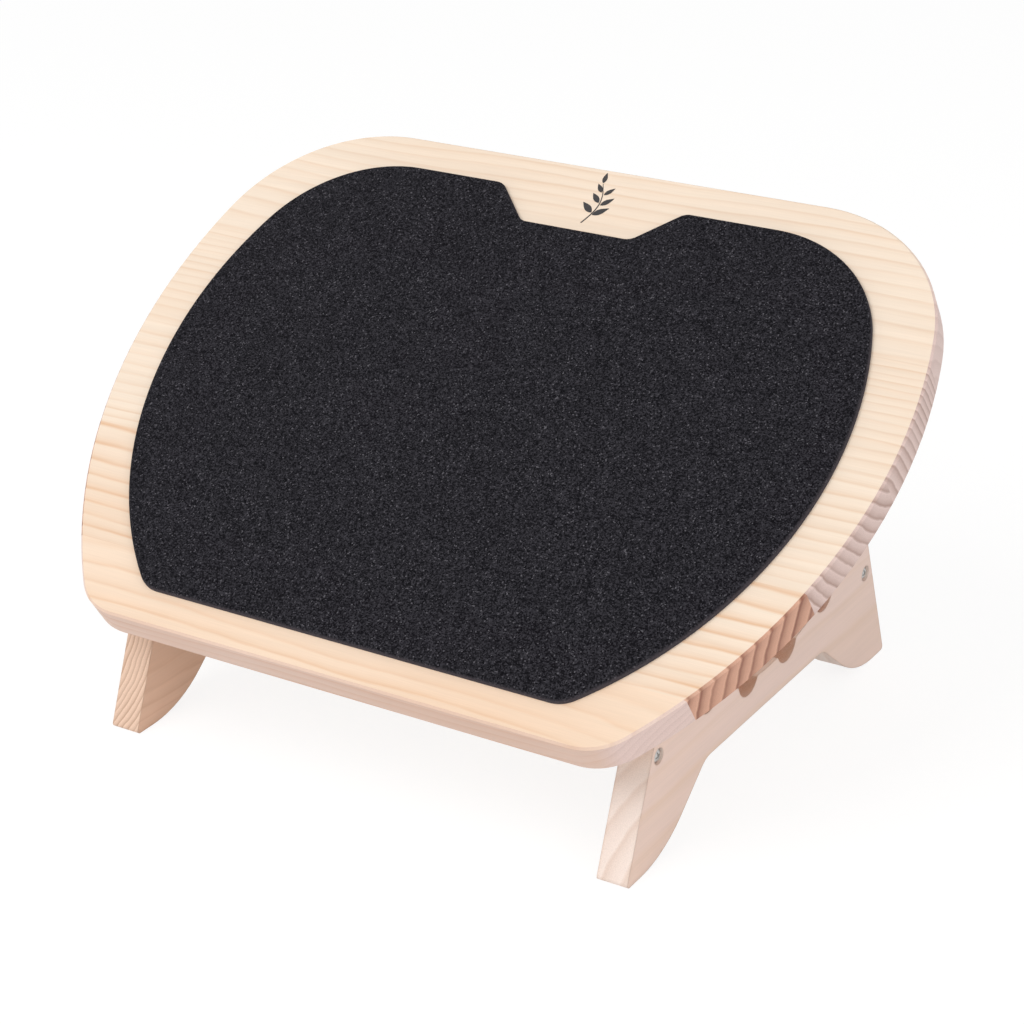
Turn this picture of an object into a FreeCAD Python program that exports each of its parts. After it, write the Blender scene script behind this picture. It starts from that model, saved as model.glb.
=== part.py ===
import FreeCAD, Part
import math
import os

from FreeCAD import Placement, Rotation, Vector

# A tilting wooden footrest: two side rails on shaped feet carry a glued pine board on pivot screws.
# A swinging prop under the board drops its round bar into one of four seats along the rails.
# X runs across the board, Y to the back and Z up, and the floor is Z = 0.

SIZES = [
    # Whole object, in degrees and millimetres.
    ("tilt_angle", 33.2, "tilt of the board with the bar in its rearmost seat"),
    ("fold_angle", 46.0, "further lift at which the bar lies in the battens' hollows"),
    ("cut_overrun", 1.0, "how far every cutting tool runs past its face"),
    ("joint_gap", 1.0, "gap between two turning pieces, held by a washer"),
    ("turning_clearance", 0.1, "clearance round and under a screw on which a piece turns"),
    # Board outline: straight front and back, one wide arc down each side, a round corner at its ends.
    ("board_depth", 350.0, "front edge to back edge"),
    ("board_half_width", 237.2, "centre line to the widest point"),
    ("board_side_radius", 303.5, "radius of the wide side arc"),
    ("board_widest", 202.5, "front edge to the widest point"),
    ("board_front_corner", 35.0, "front corner radius"),
    ("board_back_corner", 95.8, "back corner radius"),
    ("board_thickness", 20.0, "thickness of the glued panel"),
    ("board_edge_bevel", 1.2, "bevel along the panel's top and bottom edges"),
    ("first_plank_width", 41.0, "front plank, trimmed"),
    ("plank_width", 73.0, "middle planks"),
    # Foam pad, with a bay cut into its back edge.
    ("pad_front_margin", 20.1, "board front edge to pad"),
    ("pad_back_margin", 23.4, "board back edge to pad"),
    ("pad_half_width", 208.8, "centre line to the pad's widest point"),
    ("pad_side_radius", 229.0, "radius of the pad's side arc"),
    ("pad_widest", 192.2, "board front edge to the pad's widest point"),
    ("pad_front_corner", 19.0, "front corner radius"),
    ("pad_back_corner", 83.5, "back corner radius"),
    ("pad_thickness", 4.0, "foam thickness"),
    ("pad_edge_round", 2.4, "rounding of the foam's top edge"),
    ("bay_mouth_half", 59.5, "half width of the bay at the pad's back edge"),
    ("bay_floor_half", 35.5, "half width of the bay at its floor"),
    ("bay_depth", 24.0, "depth of the bay"),
    ("bay_corner", 9.0, "corner radius of the bay"),
    # Side rails.
    ("rail_outer_half", 166.4, "centre line to a rail's outer face"),
    ("rail_thickness", 18.0, "rail thickness"),
    ("rail_height", 88.2, "floor to the top of a rail"),
    ("rail_half_length", 153.3, "rail middle to the end of a foot"),
    ("rail_front_angle", 21.5, "lean of the rail's front edge, in degrees"),
    ("rail_back_angle", 19.6, "lean of the rail's back edge, in degrees"),
    ("sole_length", 14.0, "flat underside of a foot"),
    ("sole_corner_round", 2.0, "rounding at the outer end of a foot"),
    ("toe_radius", 71.0, "bulging curve from the sole up to the ramp"),
    ("arch_height", 35.5, "floor to the rail's lower edge between the feet"),
    ("ramp_angle", 38.5, "slope of the straight ramp up to the arch, in degrees"),
    ("arch_corner_round", 15.0, "cove between a ramp and the arch"),
    ("cradle_height", 57.0, "floor to the lowest point of the rail's hollow top edge"),
    ("cradle_radius", 190.0, "radius of the hollow top edge"),
    ("seat_pitch", 45.2, "distance from one bar seat to the next"),
    ("seat_radius", 11.5, "radius of a bar seat"),
    ("seat_depth", 8.0, "depth of a bar seat below the hollow top edge"),
    ("tooth_round", 2.0, "rounding where a seat meets the top edge"),
    ("pivot_offset", 121.1, "rail middle to the pivot screws in front"),
    ("fixing_offset", 123.0, "rail middle to the cross bar's screws"),
    ("fixing_height", 61.6, "floor to the screws"),
    # Cross bar at the back.
    ("cross_bar_thickness", 16.0, "cross bar, front to back"),
    ("cross_bar_height", 18.0, "cross bar, bottom to top"),
    ("cross_bar_round", 2.0, "rounding of the cross bar's long edges"),
    # Battens under the board.
    ("pivot_setback", 30.1, "board front edge to the pivot, along the board"),
    ("pivot_drop", 28.4, "board underside to the pivot"),
    ("batten_thickness", 18.0, "batten, side to side"),
    ("batten_height", 18.0, "board underside to a batten's lower edge"),
    ("batten_head_radius", 11.0, "rounded head round the pivot"),
    ("batten_head_cove", 12.0, "cove between the head and the lower edge"),
    ("batten_reach", 281.0, "pivot to a batten's back end"),
    ("batten_end_round", 12.0, "rounding of a batten's back end"),
    ("nest_clearance", 1.2, "room round the bar in a batten's hollow"),
    # Prop.
    ("prop_hinge_reach", 262.0, "pivot to the prop's hinge, along the board"),
    ("prop_hinge_drop", 12.0, "board underside to the prop's hinge"),
    ("arm_thickness", 15.0, "prop arm, side to side"),
    ("arm_top_radius", 9.0, "rounded top of a prop arm"),
    ("arm_foot_radius", 14.0, "rounded foot of a prop arm"),
    ("bar_radius", 9.0, "radius of the round bar"),
    ("bar_inset", 2.0, "rail outer face to the end of the bar"),
    ("bar_end_round", 1.2, "rounding of the bar's ends"),
    ("bar_seat_gap", 0.3, "gap between the bar and the floor of its seat"),
    ("pin_radius", 1.5, "pins that hold the bar in the arms"),
    ("pin_sink", 1.0, "how deep the pins' outer ends sit"),
    ("pin_bite", 5.0, "pin length past the bar's middle"),
    # Pan head screws and washers.
    ("screw_radius", 2.25, "shank radius"),
    ("screw_tip", 3.0, "length of the point"),
    ("screw_head_radius", 4.2, "head radius"),
    ("screw_head_rim", 0.7, "straight side of the head"),
    ("screw_head_height", 2.3, "head height"),
    ("recess_radius", 4.6, "counterbore round a head"),
    ("recess_depth", 2.6, "depth of the counterbore"),
    ("cross_slot_width", 1.0, "width of a head's cross slot"),
    ("cross_slot_length", 4.6, "length of a head's cross slot"),
    ("cross_slot_depth", 1.2, "depth of a head's cross slot"),
    ("pivot_bite", 15.0, "shank length inside a batten"),
    ("cross_bar_bite", 26.0, "shank length inside the cross bar"),
    ("washer_radius", 6.0, "washer outer radius"),
    # Countersunk screws through the battens.
    ("wood_screw_radius", 1.9, "shank radius"),
    ("wood_screw_head_radius", 3.7, "head radius"),
    ("wood_screw_head_height", 2.4, "height of the cone under the head"),
    ("wood_screw_sink", 0.8, "how deep the heads sit"),
    ("wood_screw_bite", 13.0, "shank length inside the board"),
]

SEAT_COUNT = 4
SEAT_IN_USE = 3
PLANK_COUNT = 5
BATTEN_SCREW_SHARES = (0.18, 0.54, 0.80)
SIDES = {"left": -1, "right": 1}
QUARTER_TURN = 90
FULL_TURN = 360

X_AXIS = Vector(1, 0, 0)
Y_AXIS = Vector(0, 1, 0)
Z_AXIS = Vector(0, 0, 1)

document = FreeCAD.newDocument("footrest")
sheet = document.addObject("Spreadsheet::Sheet", "sizes")
for row, (alias, value, note) in enumerate(SIZES, start=1):
    sheet.set("A%d" % row, alias)
    sheet.set("B%d" % row, str(value))
    sheet.set("C%d" % row, note)
    sheet.setAlias("B%d" % row, alias)
document.recompute()


def size(alias):
    """Read one named size from the sheet."""
    return float(sheet.get(alias))


# Outline geometry, in the plane of a sketch.


def point(across, up):
    """A point of an outline."""
    return Vector(across, up, 0)


def rim(centre, radius, degrees):
    """The point of a circle in a direction."""
    angle = math.radians(degrees)
    return centre + point(radius * math.cos(angle), radius * math.sin(angle))


def turn(centre, radius, first, last):
    """An arc round a centre from a first to a last direction, in degrees."""
    return Part.Arc(rim(centre, radius, first), rim(centre, radius, (first + last) / 2), rim(centre, radius, last))


def bow(start, end, radius, side):
    """An arc under half a turn that bulges to the left of its way (side 1) or to the right (side -1)."""
    chord = end - start
    rise = radius - math.sqrt(radius ** 2 - (chord.Length / 2) ** 2)
    outward = point(-chord.y, chord.x).normalize()
    return Part.Arc(start, start + chord / 2 + outward * side * rise, end)


def direction(vector):
    """The direction of a vector in degrees."""
    return math.degrees(math.atan2(vector.y, vector.x))


def polyline(points):
    """Straight lines from point to point."""
    return [Part.LineSegment(start, end) for start, end in zip(points, points[1:])]


def mirrored(curve):
    """A line or an arc on the other side of the centre line, run the other way."""
    first, last = curve.FirstParameter, curve.LastParameter
    start, middle, end = [curve.value(place) for place in (last, (first + last) / 2, first)]
    start, middle, end = [point(-spot.x, spot.y) for spot in (start, middle, end)]
    return Part.LineSegment(start, end) if isinstance(curve, Part.LineSegment) else Part.Arc(start, middle, end)


def closed_outline(right_half):
    """A symmetric outline from its right half, which runs from the front to the back."""
    left_half = [mirrored(curve) for curve in reversed(right_half)]
    outline = right_half + left_half
    joins = zip(outline, outline[1:] + outline[:1])
    gaps = [(one.value(one.LastParameter), two.value(two.FirstParameter)) for one, two in joins]
    return outline + [Part.LineSegment(*gap) for gap in gaps if (gap[1] - gap[0]).Length > NEAR]


# Building steps shared by the pieces.

NEAR = size("cut_overrun") / 20


def new_body(label):
    """Start one piece."""
    body = document.addObject("PartDesign::Body", label)
    body.Label = label
    return body


def bind(feature, **expressions):
    """Bind a feature's sizes to the sheet, with S. standing for the sheet's name."""
    for name, expression in expressions.items():
        feature.setExpression(name, expression.replace("S.", "sizes."))


def add_sketch(body, name, role, outline):
    """Draw an outline on one of the body's origin planes."""
    plane = next(plane for plane in body.Origin.OriginFeatures if plane.Role == role)
    sketch = body.newObject("Sketcher::SketchObject", name)
    sketch.AttachmentSupport = [(plane, "")]
    sketch.MapMode = "FlatFace"
    sketch.addGeometry(outline, False)
    return sketch


def add_pad(body, role, outline, length, side=1):
    """Give an outline a thickness, on either side of its plane."""
    sketch = add_sketch(body, body.Label + "_outline", role, outline)
    pad = body.newObject("PartDesign::Pad", body.Label + "_pad")
    pad.Profile = sketch
    pad.Reversed = side < 0
    bind(pad, Length=length)
    document.recompute()


def drill(body, name, start, way, radius, depth):
    """Cut a round hole from a start point along a way."""
    hole = body.newObject("PartDesign::SubtractiveCylinder", "%s_%s" % (body.Label, name))
    bind(hole, Radius=radius, Height=depth)
    hole.Placement = Placement(start, Rotation(Z_AXIS, way))
    document.recompute()


def cut_box(body, name, corner, length, width, height):
    """Cut a box away from its lowest corner."""
    box = body.newObject("PartDesign::SubtractiveBox", "%s_%s" % (body.Label, name))
    bind(box, Length=length, Width=width, Height=height)
    box.Placement = Placement(corner, Rotation())
    document.recompute()


def round_edges(body, name, wanted, radius):
    """Round the edges that a test picks out."""
    base = body.Tip
    names = ["Edge%d" % number for number, edge in enumerate(base.Shape.Edges, start=1) if wanted(edge)]
    fillet = body.newObject("PartDesign::Fillet", "%s_%s" % (body.Label, name))
    fillet.Base = (base, names)
    bind(fillet, Radius=radius)
    document.recompute()


def bevel_edges(body, name, wanted, width):
    """Bevel the edges that a test picks out."""
    base = body.Tip
    names = ["Edge%d" % number for number, edge in enumerate(base.Shape.Edges, start=1) if wanted(edge)]
    bevel = body.newObject("PartDesign::Chamfer", "%s_%s" % (body.Label, name))
    bevel.Base = (base, names)
    bind(bevel, Size=width)
    document.recompute()


def runs_through(spots, way):
    """A test for straight edges that run a certain way through one of the spots."""
    def test(edge):
        ends = [edge.valueAt(edge.FirstParameter), edge.valueAt(edge.LastParameter)]
        return any(all(end.distanceToLine(spot, way) < NEAR for end in ends) for spot in spots)
    return test


def lies_at_height(height):
    """A test for edges that lie level at a height."""
    def test(edge):
        box = edge.BoundBox
        return box.ZLength < NEAR and abs(box.ZMax - height) < NEAR
    return test


def place_copies(label, master, places):
    """Gather placed copies of one piece in a single node."""
    copies = []
    for place in places:
        copy = master.Shape.copy()
        copy.Placement = place
        copies.append(copy)
    group = document.addObject("Part::Feature", label)
    group.Label = label
    group.Shape = Part.makeCompound(copies)
    group.Placement = Placement()
    return group


# Places worked out from the sizes.

TILT = Rotation(X_AXIS, size("tilt_angle"))
RAIL_INNER = size("rail_outer_half") - size("rail_thickness")
BATTEN_OUTER = RAIL_INNER - size("joint_gap")
BATTEN_INNER = BATTEN_OUTER - size("batten_thickness")
ARM_OUTER = BATTEN_INNER - size("joint_gap")
ARM_INNER = ARM_OUTER - size("arm_thickness")
BATTEN_FLOOR = size("pivot_drop") - size("batten_height")
CRADLE_CENTRE = point(0, size("cradle_height") + size("cradle_radius"))


def seat_centre(index):
    """Middle of one bar seat in the rail's side view."""
    offset = (index - (SEAT_COUNT - 1) / 2) * size("seat_pitch")
    sag = math.sqrt(size("cradle_radius") ** 2 - offset ** 2)
    return point(offset, CRADLE_CENTRE.y - sag + size("seat_radius") - size("seat_depth"))


def bar_centre(index):
    """Middle of the prop's bar when it lies in a seat, in the rail's side view."""
    return seat_centre(index) - point(0, size("seat_radius") - size("bar_radius") - size("bar_seat_gap"))


def rounding_loss(radius, normal_a, normal_b, way):
    """How far a rounded corner between two faces stands back from the sharp one, seen along a way."""
    return radius * ((normal_a + normal_b).dot(way) / (1 + normal_a.dot(normal_b)) - 1)


def bevel_loss(width, normal_a, normal_b, way):
    """How far a bevelled corner between two square faces stands back from the sharp one, seen along a way."""
    return width * min(normal_a.dot(way), normal_b.dot(way))


# The origin stands midway between the board's front edge and the rails' back end.
BOARD_CORNER = Vector(0, -size("pivot_setback"), size("pivot_drop") + size("board_thickness"))
BOARD_LOSS = bevel_loss(size("board_edge_bevel"), TILT.multVec(-Y_AXIS), TILT.multVec(Z_AXIS), -Y_AXIS)
BOARD_FRONT = TILT.multVec(BOARD_CORNER).y - size("pivot_offset") + BOARD_LOSS
BACK_NORMAL = Rotation(X_AXIS, size("rail_back_angle")).multVec(Y_AXIS)
SOLE_LOSS = rounding_loss(size("sole_corner_round"), BACK_NORMAL, -Z_AXIS, Y_AXIS)
RAIL_MIDDLE = -(BOARD_FRONT + size("rail_half_length") - SOLE_LOSS) / 2
PIVOT = Vector(0, RAIL_MIDDLE - size("pivot_offset"), size("fixing_height"))
HINGE_ON_BOARD = Vector(0, size("prop_hinge_reach"), size("pivot_drop") - size("prop_hinge_drop"))
HINGE = PIVOT + TILT.multVec(HINGE_ON_BOARD)
BAR = Vector(0, RAIL_MIDDLE + bar_centre(SEAT_IN_USE).x, bar_centre(SEAT_IN_USE).y)
ARM_LENGTH = (BAR - HINGE).Length
ARM_LEAN = math.degrees(math.atan2((BAR - HINGE).y, (HINGE - BAR).z))
BAR_NEST = HINGE_ON_BOARD + Rotation(X_AXIS, -size("fold_angle")).multVec(TILT.inverted().multVec(BAR - HINGE))

BOARD_PLACE = Placement(PIVOT, TILT)
PANEL_PLACE = BOARD_PLACE * Placement(Vector(0, -size("pivot_setback"), size("pivot_drop")), Rotation())
PAD_PLACE = PANEL_PLACE * Placement(Vector(0, 0, size("board_thickness")), Rotation())
PROP_PLACE = Placement(HINGE, Rotation(X_AXIS, ARM_LEAN))
BATTEN_SCREWS = [share * size("batten_reach") for share in BATTEN_SCREW_SHARES]

# Side rails.


def circle_crossings(centre_a, radius_a, centre_b, radius_b):
    """The two points where two circles cross, from front to back."""
    gap = centre_b - centre_a
    along = (gap.Length ** 2 + radius_a ** 2 - radius_b ** 2) / (2 * gap.Length)
    aside = point(-gap.y, gap.x) * (math.sqrt(radius_a ** 2 - along ** 2) / gap.Length)
    foot = centre_a + gap * (along / gap.Length)
    return sorted([foot + aside, foot - aside], key=lambda spot: spot.x)


def cradle_outline(back_lip, front_lip):
    """The rail's hollow top edge, which dips into each bar seat, and the teeth's corners."""
    radius = size("cradle_radius")
    curves = []
    teeth = []
    here = back_lip
    for index in reversed(range(SEAT_COUNT)):
        seat = seat_centre(index)
        front, back = circle_crossings(CRADLE_CENTRE, radius, seat, size("seat_radius"))
        curves.append(bow(here, back, radius, 1))
        curves.append(Part.Arc(back, seat - point(0, size("seat_radius")), front))
        teeth += [front, back]
        here = front
    curves.append(bow(here, front_lip, radius, 1))
    return curves, teeth


def foot_side():
    """The inner side of the front foot, which bulges from the sole into a straight ramp, and the ramp's top."""
    radius = size("toe_radius")
    slope = size("ramp_angle")
    centre = point(size("sole_length") - size("rail_half_length"), radius)
    start = rim(centre, radius, slope - QUARTER_TURN)
    rise = size("arch_height") - start.y
    top = start + point(rise / math.tan(math.radians(slope)), rise)
    return [turn(centre, radius, -QUARTER_TURN, slope - QUARTER_TURN), Part.LineSegment(start, top)], top


def rail_outline():
    """A rail's side view, with the corners at its soles, its arch and its teeth."""
    height = size("rail_height")
    half = size("rail_half_length")
    heel = half - size("sole_length")
    front_top = height * math.tan(math.radians(size("rail_front_angle"))) - half
    back_top = half - height * math.tan(math.radians(size("rail_back_angle")))
    lip = math.sqrt(size("cradle_radius") ** 2 - (CRADLE_CENTRE.y - height) ** 2)
    soles = [point(-half, 0), point(half, 0)]
    cradle, teeth = cradle_outline(point(lip, height), point(-lip, height))
    front_foot, ramp_top = foot_side()
    arch = [ramp_top, point(-ramp_top.x, ramp_top.y)]
    outline = polyline([point(-lip, height), point(front_top, height), soles[0], point(-heel, 0)])
    outline += front_foot + polyline(arch) + [mirrored(curve) for curve in reversed(front_foot)]
    outline += polyline([point(heel, 0), soles[1], point(back_top, height), point(lip, height)])
    return outline + cradle, soles, arch, teeth


def in_side_view(spots):
    """Turn points of a side view into places in a body."""
    return [Vector(0, spot.x, spot.y) for spot in spots]


def build_rail(side_name):
    """One side rail, with a counterbored screw hole at each end."""
    side = SIDES[side_name]
    body = new_body(side_name + "_rail")
    outline, soles, arch, teeth = rail_outline()
    add_pad(body, "YZ_Plane", outline, "S.rail_thickness", side)
    round_edges(body, "soles", runs_through(in_side_view(soles), X_AXIS), "S.sole_corner_round")
    round_edges(body, "arch", runs_through(in_side_view(arch), X_AXIS), "S.arch_corner_round")
    round_edges(body, "teeth", runs_through(in_side_view(teeth), X_AXIS), "S.tooth_round")
    radii = {"pivot": "S.screw_radius + S.turning_clearance", "cross_bar": "S.screw_radius"}
    offsets = (-size("pivot_offset"), size("fixing_offset"))
    outward = X_AXIS * side
    for (name, radius), offset in zip(radii.items(), offsets):
        spot = Vector(0, offset, size("fixing_height"))
        through = "S.rail_thickness + 2 * S.cut_overrun"
        drill(body, name + "_hole", spot - outward * size("cut_overrun"), outward, radius, through)
        floor = spot + outward * (size("rail_thickness") - size("recess_depth"))
        drill(body, name + "_recess", floor, outward, "S.recess_radius", "S.recess_depth + S.cut_overrun")
    body.Placement = Placement(Vector(side * RAIL_INNER, RAIL_MIDDLE, 0), Rotation())
    return body


def build_cross_bar():
    """The straight bar between the rails at the back."""
    body = new_body("rear_cross_bar")
    half_depth = size("cross_bar_thickness") / 2
    half_height = size("cross_bar_height") / 2
    corners = [point(-half_depth, -half_height), point(half_depth, -half_height)]
    corners += [point(half_depth, half_height), point(-half_depth, half_height)]
    length = "2 * (S.rail_outer_half - S.rail_thickness)"
    add_pad(body, "YZ_Plane", polyline(corners + corners[:1]), length)
    round_edges(body, "edges", runs_through(in_side_view(corners), X_AXIS), "S.cross_bar_round")
    for side_name, side in SIDES.items():
        end = X_AXIS * (RAIL_INNER + side * (RAIL_INNER + size("cut_overrun")))
        depth = "S.cross_bar_bite + 2 * S.cut_overrun"
        drill(body, side_name + "_pilot", end, X_AXIS * -side, "S.screw_radius", depth)
    end_place = Vector(-RAIL_INNER, RAIL_MIDDLE + size("fixing_offset"), size("fixing_height"))
    body.Placement = Placement(end_place, Rotation())
    return body


# Board and pad.


def rounded_side(name, front, back):
    """The right half of the board's or the pad's outline, from the front to the back corner."""
    corners = (size(name + "_front_corner"), size(name + "_back_corner"))
    radius = size(name + "_side_radius")
    centre = point(size(name + "_half_width") - radius, size(name + "_widest"))
    heights = (front + corners[0], back - corners[1])
    middles = []
    for corner, height in zip(corners, heights):
        across = math.sqrt((radius - corner) ** 2 - (height - centre.y) ** 2)
        middles.append(point(centre.x + across, height))
    angles = [direction(middle - centre) for middle in middles]
    return [
        turn(middles[0], corners[0], -QUARTER_TURN, angles[0]),
        turn(centre, radius, *angles),
        turn(middles[1], corners[1], angles[1], QUARTER_TURN),
    ]


def build_plank(index):
    """One plank of the glued panel, which runs the full width of the board."""
    body = new_body("board_plank_%d" % (index + 1))
    depth = size("board_depth")
    add_pad(body, "XY_Plane", closed_outline(rounded_side("board", 0, depth)), "S.board_thickness")
    bevel_edges(body, "lower_edge", lies_at_height(0), "S.board_edge_bevel")
    bevel_edges(body, "upper_edge", lies_at_height(size("board_thickness")), "S.board_edge_bevel")
    first_seam = size("first_plank_width") + (index - 1) * size("plank_width")
    front = first_seam if index else 0
    back = first_seam + size("plank_width") if index < PLANK_COUNT - 1 else depth
    low = -size("board_half_width") - size("cut_overrun")
    below = -size("cut_overrun")
    blank = ("2 * (S.board_half_width + S.cut_overrun)", "S.board_depth", "S.board_thickness + 2 * S.cut_overrun")
    if index:
        cut_box(body, "front_cut", Vector(low, front - depth, below), *blank)
    if index < PLANK_COUNT - 1:
        cut_box(body, "back_cut", Vector(low, back, below), *blank)
    for side_name, side in SIDES.items():
        for number, along in enumerate(BATTEN_SCREWS, start=1):
            place = along + size("pivot_setback")
            if front < place < back:
                start = Vector(side * (BATTEN_INNER + BATTEN_OUTER) / 2, place, -size("cut_overrun"))
                name = "%s_pilot_%d" % (side_name, number)
                pilot_depth = "S.wood_screw_bite + 2 * S.cut_overrun"
                drill(body, name, start, Z_AXIS, "S.wood_screw_radius", pilot_depth)
    body.Placement = PANEL_PLACE
    return body


def build_pad():
    """The foam pad, whose back edge steps in round a bay."""
    body = new_body("foam_pad")
    front = size("pad_front_margin")
    back = size("board_depth") - size("pad_back_margin")
    side = rounded_side("pad", front, back)
    floor = back - size("bay_depth")
    bay = [point(size("bay_mouth_half"), back), point(size("bay_floor_half"), floor)]
    last = side[-1]
    right_half = side + polyline([last.value(last.LastParameter)] + bay)
    add_pad(body, "XY_Plane", closed_outline(right_half), "S.pad_thickness")
    bay += [point(-spot.x, spot.y) for spot in bay]
    round_edges(body, "bay_corners", runs_through(bay, Z_AXIS), "S.bay_corner")
    round_edges(body, "upper_edge", lies_at_height(size("pad_thickness")), "S.pad_edge_round")
    body.Placement = PAD_PLACE
    return body


# Battens.


def build_batten(side_name):
    """One batten, with a round head on the pivot, a hollow for the folded bar and the prop's hinge hole."""
    side = SIDES[side_name]
    body = new_body(side_name + "_batten")
    head = size("batten_head_radius")
    top = size("pivot_drop")
    reach = size("batten_reach")
    neck = point(math.sqrt(head ** 2 - BATTEN_FLOOR ** 2), BATTEN_FLOOR)
    end = point(reach, BATTEN_FLOOR)
    outline = [turn(point(0, 0), head, direction(neck) - FULL_TURN, -2 * QUARTER_TURN)]
    outline += polyline([point(-head, 0), point(-head, top), point(reach, top), end, neck])
    add_pad(body, "YZ_Plane", outline, "S.batten_thickness", side)
    round_edges(body, "neck", runs_through(in_side_view([neck]), X_AXIS), "S.batten_head_cove")
    round_edges(body, "back_end", runs_through(in_side_view([end]), X_AXIS), "S.batten_end_round")
    outward = X_AXIS * side
    start = outward * -size("cut_overrun")
    through = "S.batten_thickness + 2 * S.cut_overrun"
    drill(body, "bar_hollow", BAR_NEST + start, outward, "S.bar_radius + S.nest_clearance", through)
    outer = outward * (size("batten_thickness") + size("cut_overrun"))
    bite = "S.pivot_bite + 2 * S.cut_overrun"
    drill(body, "pivot_pilot", outer, -outward, "S.screw_radius", bite)
    drill(body, "hinge_pilot", HINGE_ON_BOARD + start, outward, "S.screw_radius", bite)
    for number, along in enumerate(BATTEN_SCREWS, start=1):
        axis = Vector(side * size("batten_thickness") / 2, along, BATTEN_FLOOR)
        start = axis - Z_AXIS * size("cut_overrun")
        length = "S.batten_height + 2 * S.cut_overrun"
        drill(body, "screw_hole_%d" % number, start, Z_AXIS, "S.wood_screw_radius", length)
        sink = "S.wood_screw_sink + S.cut_overrun"
        drill(body, "screw_sink_%d" % number, start, Z_AXIS, "S.wood_screw_head_radius", sink)
        cone = body.newObject("PartDesign::SubtractiveCone", "%s_screw_cone_%d" % (body.Label, number))
        bind(cone, Radius1="S.wood_screw_head_radius", Radius2="S.wood_screw_radius")
        bind(cone, Height="S.wood_screw_head_height")
        cone.Placement = Placement(axis + Z_AXIS * size("wood_screw_sink"), Rotation())
        document.recompute()
    body.Placement = BOARD_PLACE * Placement(outward * BATTEN_INNER, Rotation())
    return body


# Prop.


def build_arm(side_name):
    """One prop arm, which widens from its hinge to its foot round the bar."""
    side = SIDES[side_name]
    body = new_body(side_name + "_prop_arm")
    radii = (size("arm_top_radius"), size("arm_foot_radius"))
    middles = (point(0, 0), point(0, -ARM_LENGTH))
    slant = math.degrees(math.asin((radii[1] - radii[0]) / ARM_LENGTH))
    top_right, foot_right = [rim(middle, radius, slant) for middle, radius in zip(middles, radii)]
    top_left, foot_left = [point(-spot.x, spot.y) for spot in (top_right, foot_right)]
    outline = [
        Part.Arc(top_right, rim(middles[0], radii[0], QUARTER_TURN), top_left),
        Part.LineSegment(top_left, foot_left),
        Part.Arc(foot_left, rim(middles[1], radii[1], -QUARTER_TURN), foot_right),
        Part.LineSegment(foot_right, top_right),
    ]
    add_pad(body, "YZ_Plane", outline, "S.arm_thickness", side)
    outward = X_AXIS * side
    start = outward * -size("cut_overrun")
    through = "S.arm_thickness + 2 * S.cut_overrun"
    foot = Vector(0, 0, -ARM_LENGTH)
    drill(body, "hinge_hole", start, outward, "S.screw_radius + S.turning_clearance", through)
    drill(body, "hinge_recess", start, outward, "S.recess_radius", "S.recess_depth + S.cut_overrun")
    drill(body, "bar_hole", foot + start, outward, "S.bar_radius", through)
    pin = foot + outward * size("arm_thickness") / 2
    drill(body, "pin_hole", pin, Y_AXIS, "S.pin_radius", "S.arm_foot_radius + S.cut_overrun")
    body.Placement = PROP_PLACE * Placement(outward * ARM_INNER, Rotation())
    return body


def build_bar():
    """The round bar that lies in the rails' seats."""
    body = new_body("prop_bar")
    half = size("rail_outer_half") - size("bar_inset")
    circle = Part.Circle(point(0, 0), Z_AXIS, size("bar_radius"))
    add_pad(body, "YZ_Plane", [circle], "2 * (S.rail_outer_half - S.bar_inset)")
    round_edges(body, "ends", lambda edge: edge.BoundBox.XLength < NEAR, "S.bar_end_round")
    for side_name, side in SIDES.items():
        start = Vector(half + side * (ARM_INNER + ARM_OUTER) / 2, -size("pin_bite") - size("cut_overrun"), 0)
        depth = "S.bar_radius + S.pin_bite + 2 * S.cut_overrun"
        drill(body, side_name + "_pin_hole", start, Y_AXIS, "S.pin_radius", depth)
    body.Placement = PROP_PLACE * Placement(Vector(-half, 0, -ARM_LENGTH), Rotation())
    return body


# Screws, washers and pins: each is made once and then placed at every spot.


def cut_cross_slot(body, top):
    """Cut the cross slot into a screw's head."""
    sizes = ("S.cross_slot_length", "S.cross_slot_width")
    depth = "S.cross_slot_depth + S.cut_overrun"
    corner = Vector(-size("cross_slot_length") / 2, -size("cross_slot_width") / 2, top - size("cross_slot_depth"))
    cut_box(body, "slot_across", corner, sizes[0], sizes[1], depth)
    cut_box(body, "slot_along", Vector(corner.y, corner.x, corner.z), sizes[1], sizes[0], depth)


def revolve(body, outline):
    """Spin an outline round the upright axis."""
    sketch = add_sketch(body, body.Label + "_outline", "XZ_Plane", outline)
    document.recompute()
    revolution = body.newObject("PartDesign::Revolution", body.Label + "_revolution")
    revolution.Profile = sketch
    revolution.ReferenceAxis = (sketch, ["V_Axis"])
    revolution.Angle = FULL_TURN
    document.recompute()


def build_pan_screw(label, length):
    """A pan head screw whose head rests on Z = 0 and whose shank points down."""
    body = new_body(label)
    shank = size("screw_radius")
    head = size("screw_head_radius")
    edge = size("screw_head_rim")
    crown = size("screw_head_height")
    rise = crown - edge
    dome = (head ** 2 + rise ** 2) / (2 * rise)
    shoulder = [point(0, -length), point(shank, size("screw_tip") - length), point(shank, 0), point(head, 0)]
    outline = polyline(shoulder + [point(head, edge)])
    outline.append(bow(point(head, edge), point(0, crown), dome, -1))
    outline += polyline([point(0, crown), point(0, -length)])
    revolve(body, outline)
    cut_cross_slot(body, crown)
    return body


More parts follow.
